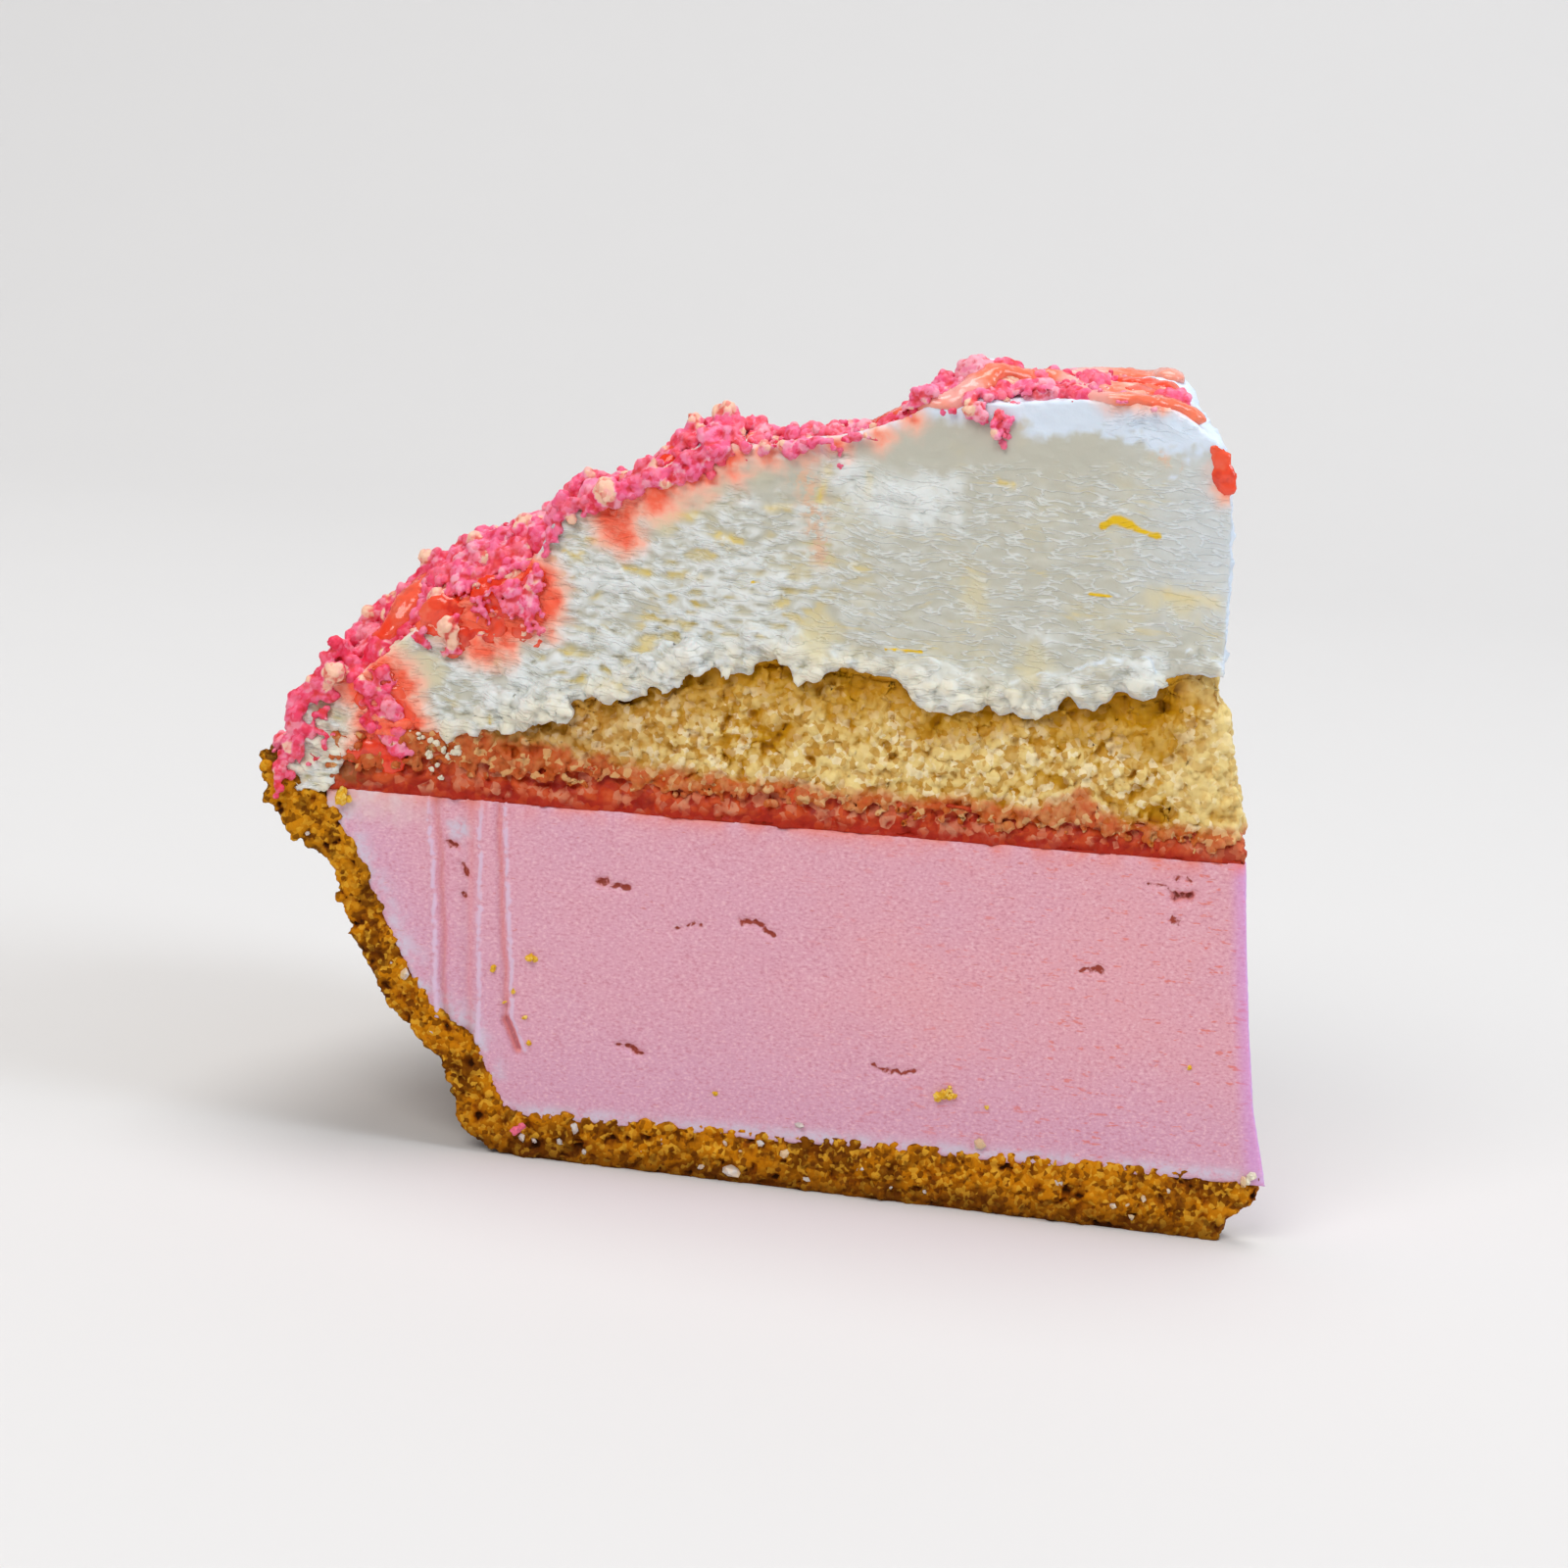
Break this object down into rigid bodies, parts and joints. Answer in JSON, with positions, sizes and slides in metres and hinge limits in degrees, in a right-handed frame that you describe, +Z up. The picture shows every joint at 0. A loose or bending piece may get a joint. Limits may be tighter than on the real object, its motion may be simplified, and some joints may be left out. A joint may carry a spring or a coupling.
{
  "type": "slice of ice cream pie",
  "caption": "Wedge of layered ice cream pie: sloping crumb crust, strawberry ice cream, jam, sponge and a vanilla dome with pink crumbs and glaze.",
  "frame": {"origin": "centre of the slice's footprint box, on the surface that the crust stands on", "axes": "+Z up; +X towards the slice's point; -Y towards the shown cut face, which lies parallel to the XZ plane"},
  "size_m": [0.1135, 0.0819, 0.0925],
  "materials": {
    "crumb_crust": "dry baked biscuit crumb, matte and grainy",
    "strawberry_ice_cream": "frozen, smooth knife-cut face with a soft sheen",
    "strawberry_jam": "wet, soaked into the crumb above",
    "sponge_cake": "open cake crumb, matte",
    "vanilla_cream": "frozen, scraped and streaky where cut, smooth outside",
    "pink_crumbs": "dry pink biscuit crumb with a few pale ones",
    "strawberry_glaze": "clear glossy sauce"
  },
  "bodies": {
    "root": {"crust": "crumb_crust", "strawberry_ice_cream": "strawberry_ice_cream", "strawberry_jam": "strawberry_jam", "sponge_cake": "sponge_cake", "vanilla_cream": "vanilla_cream"}
  },
  "joints": []
}
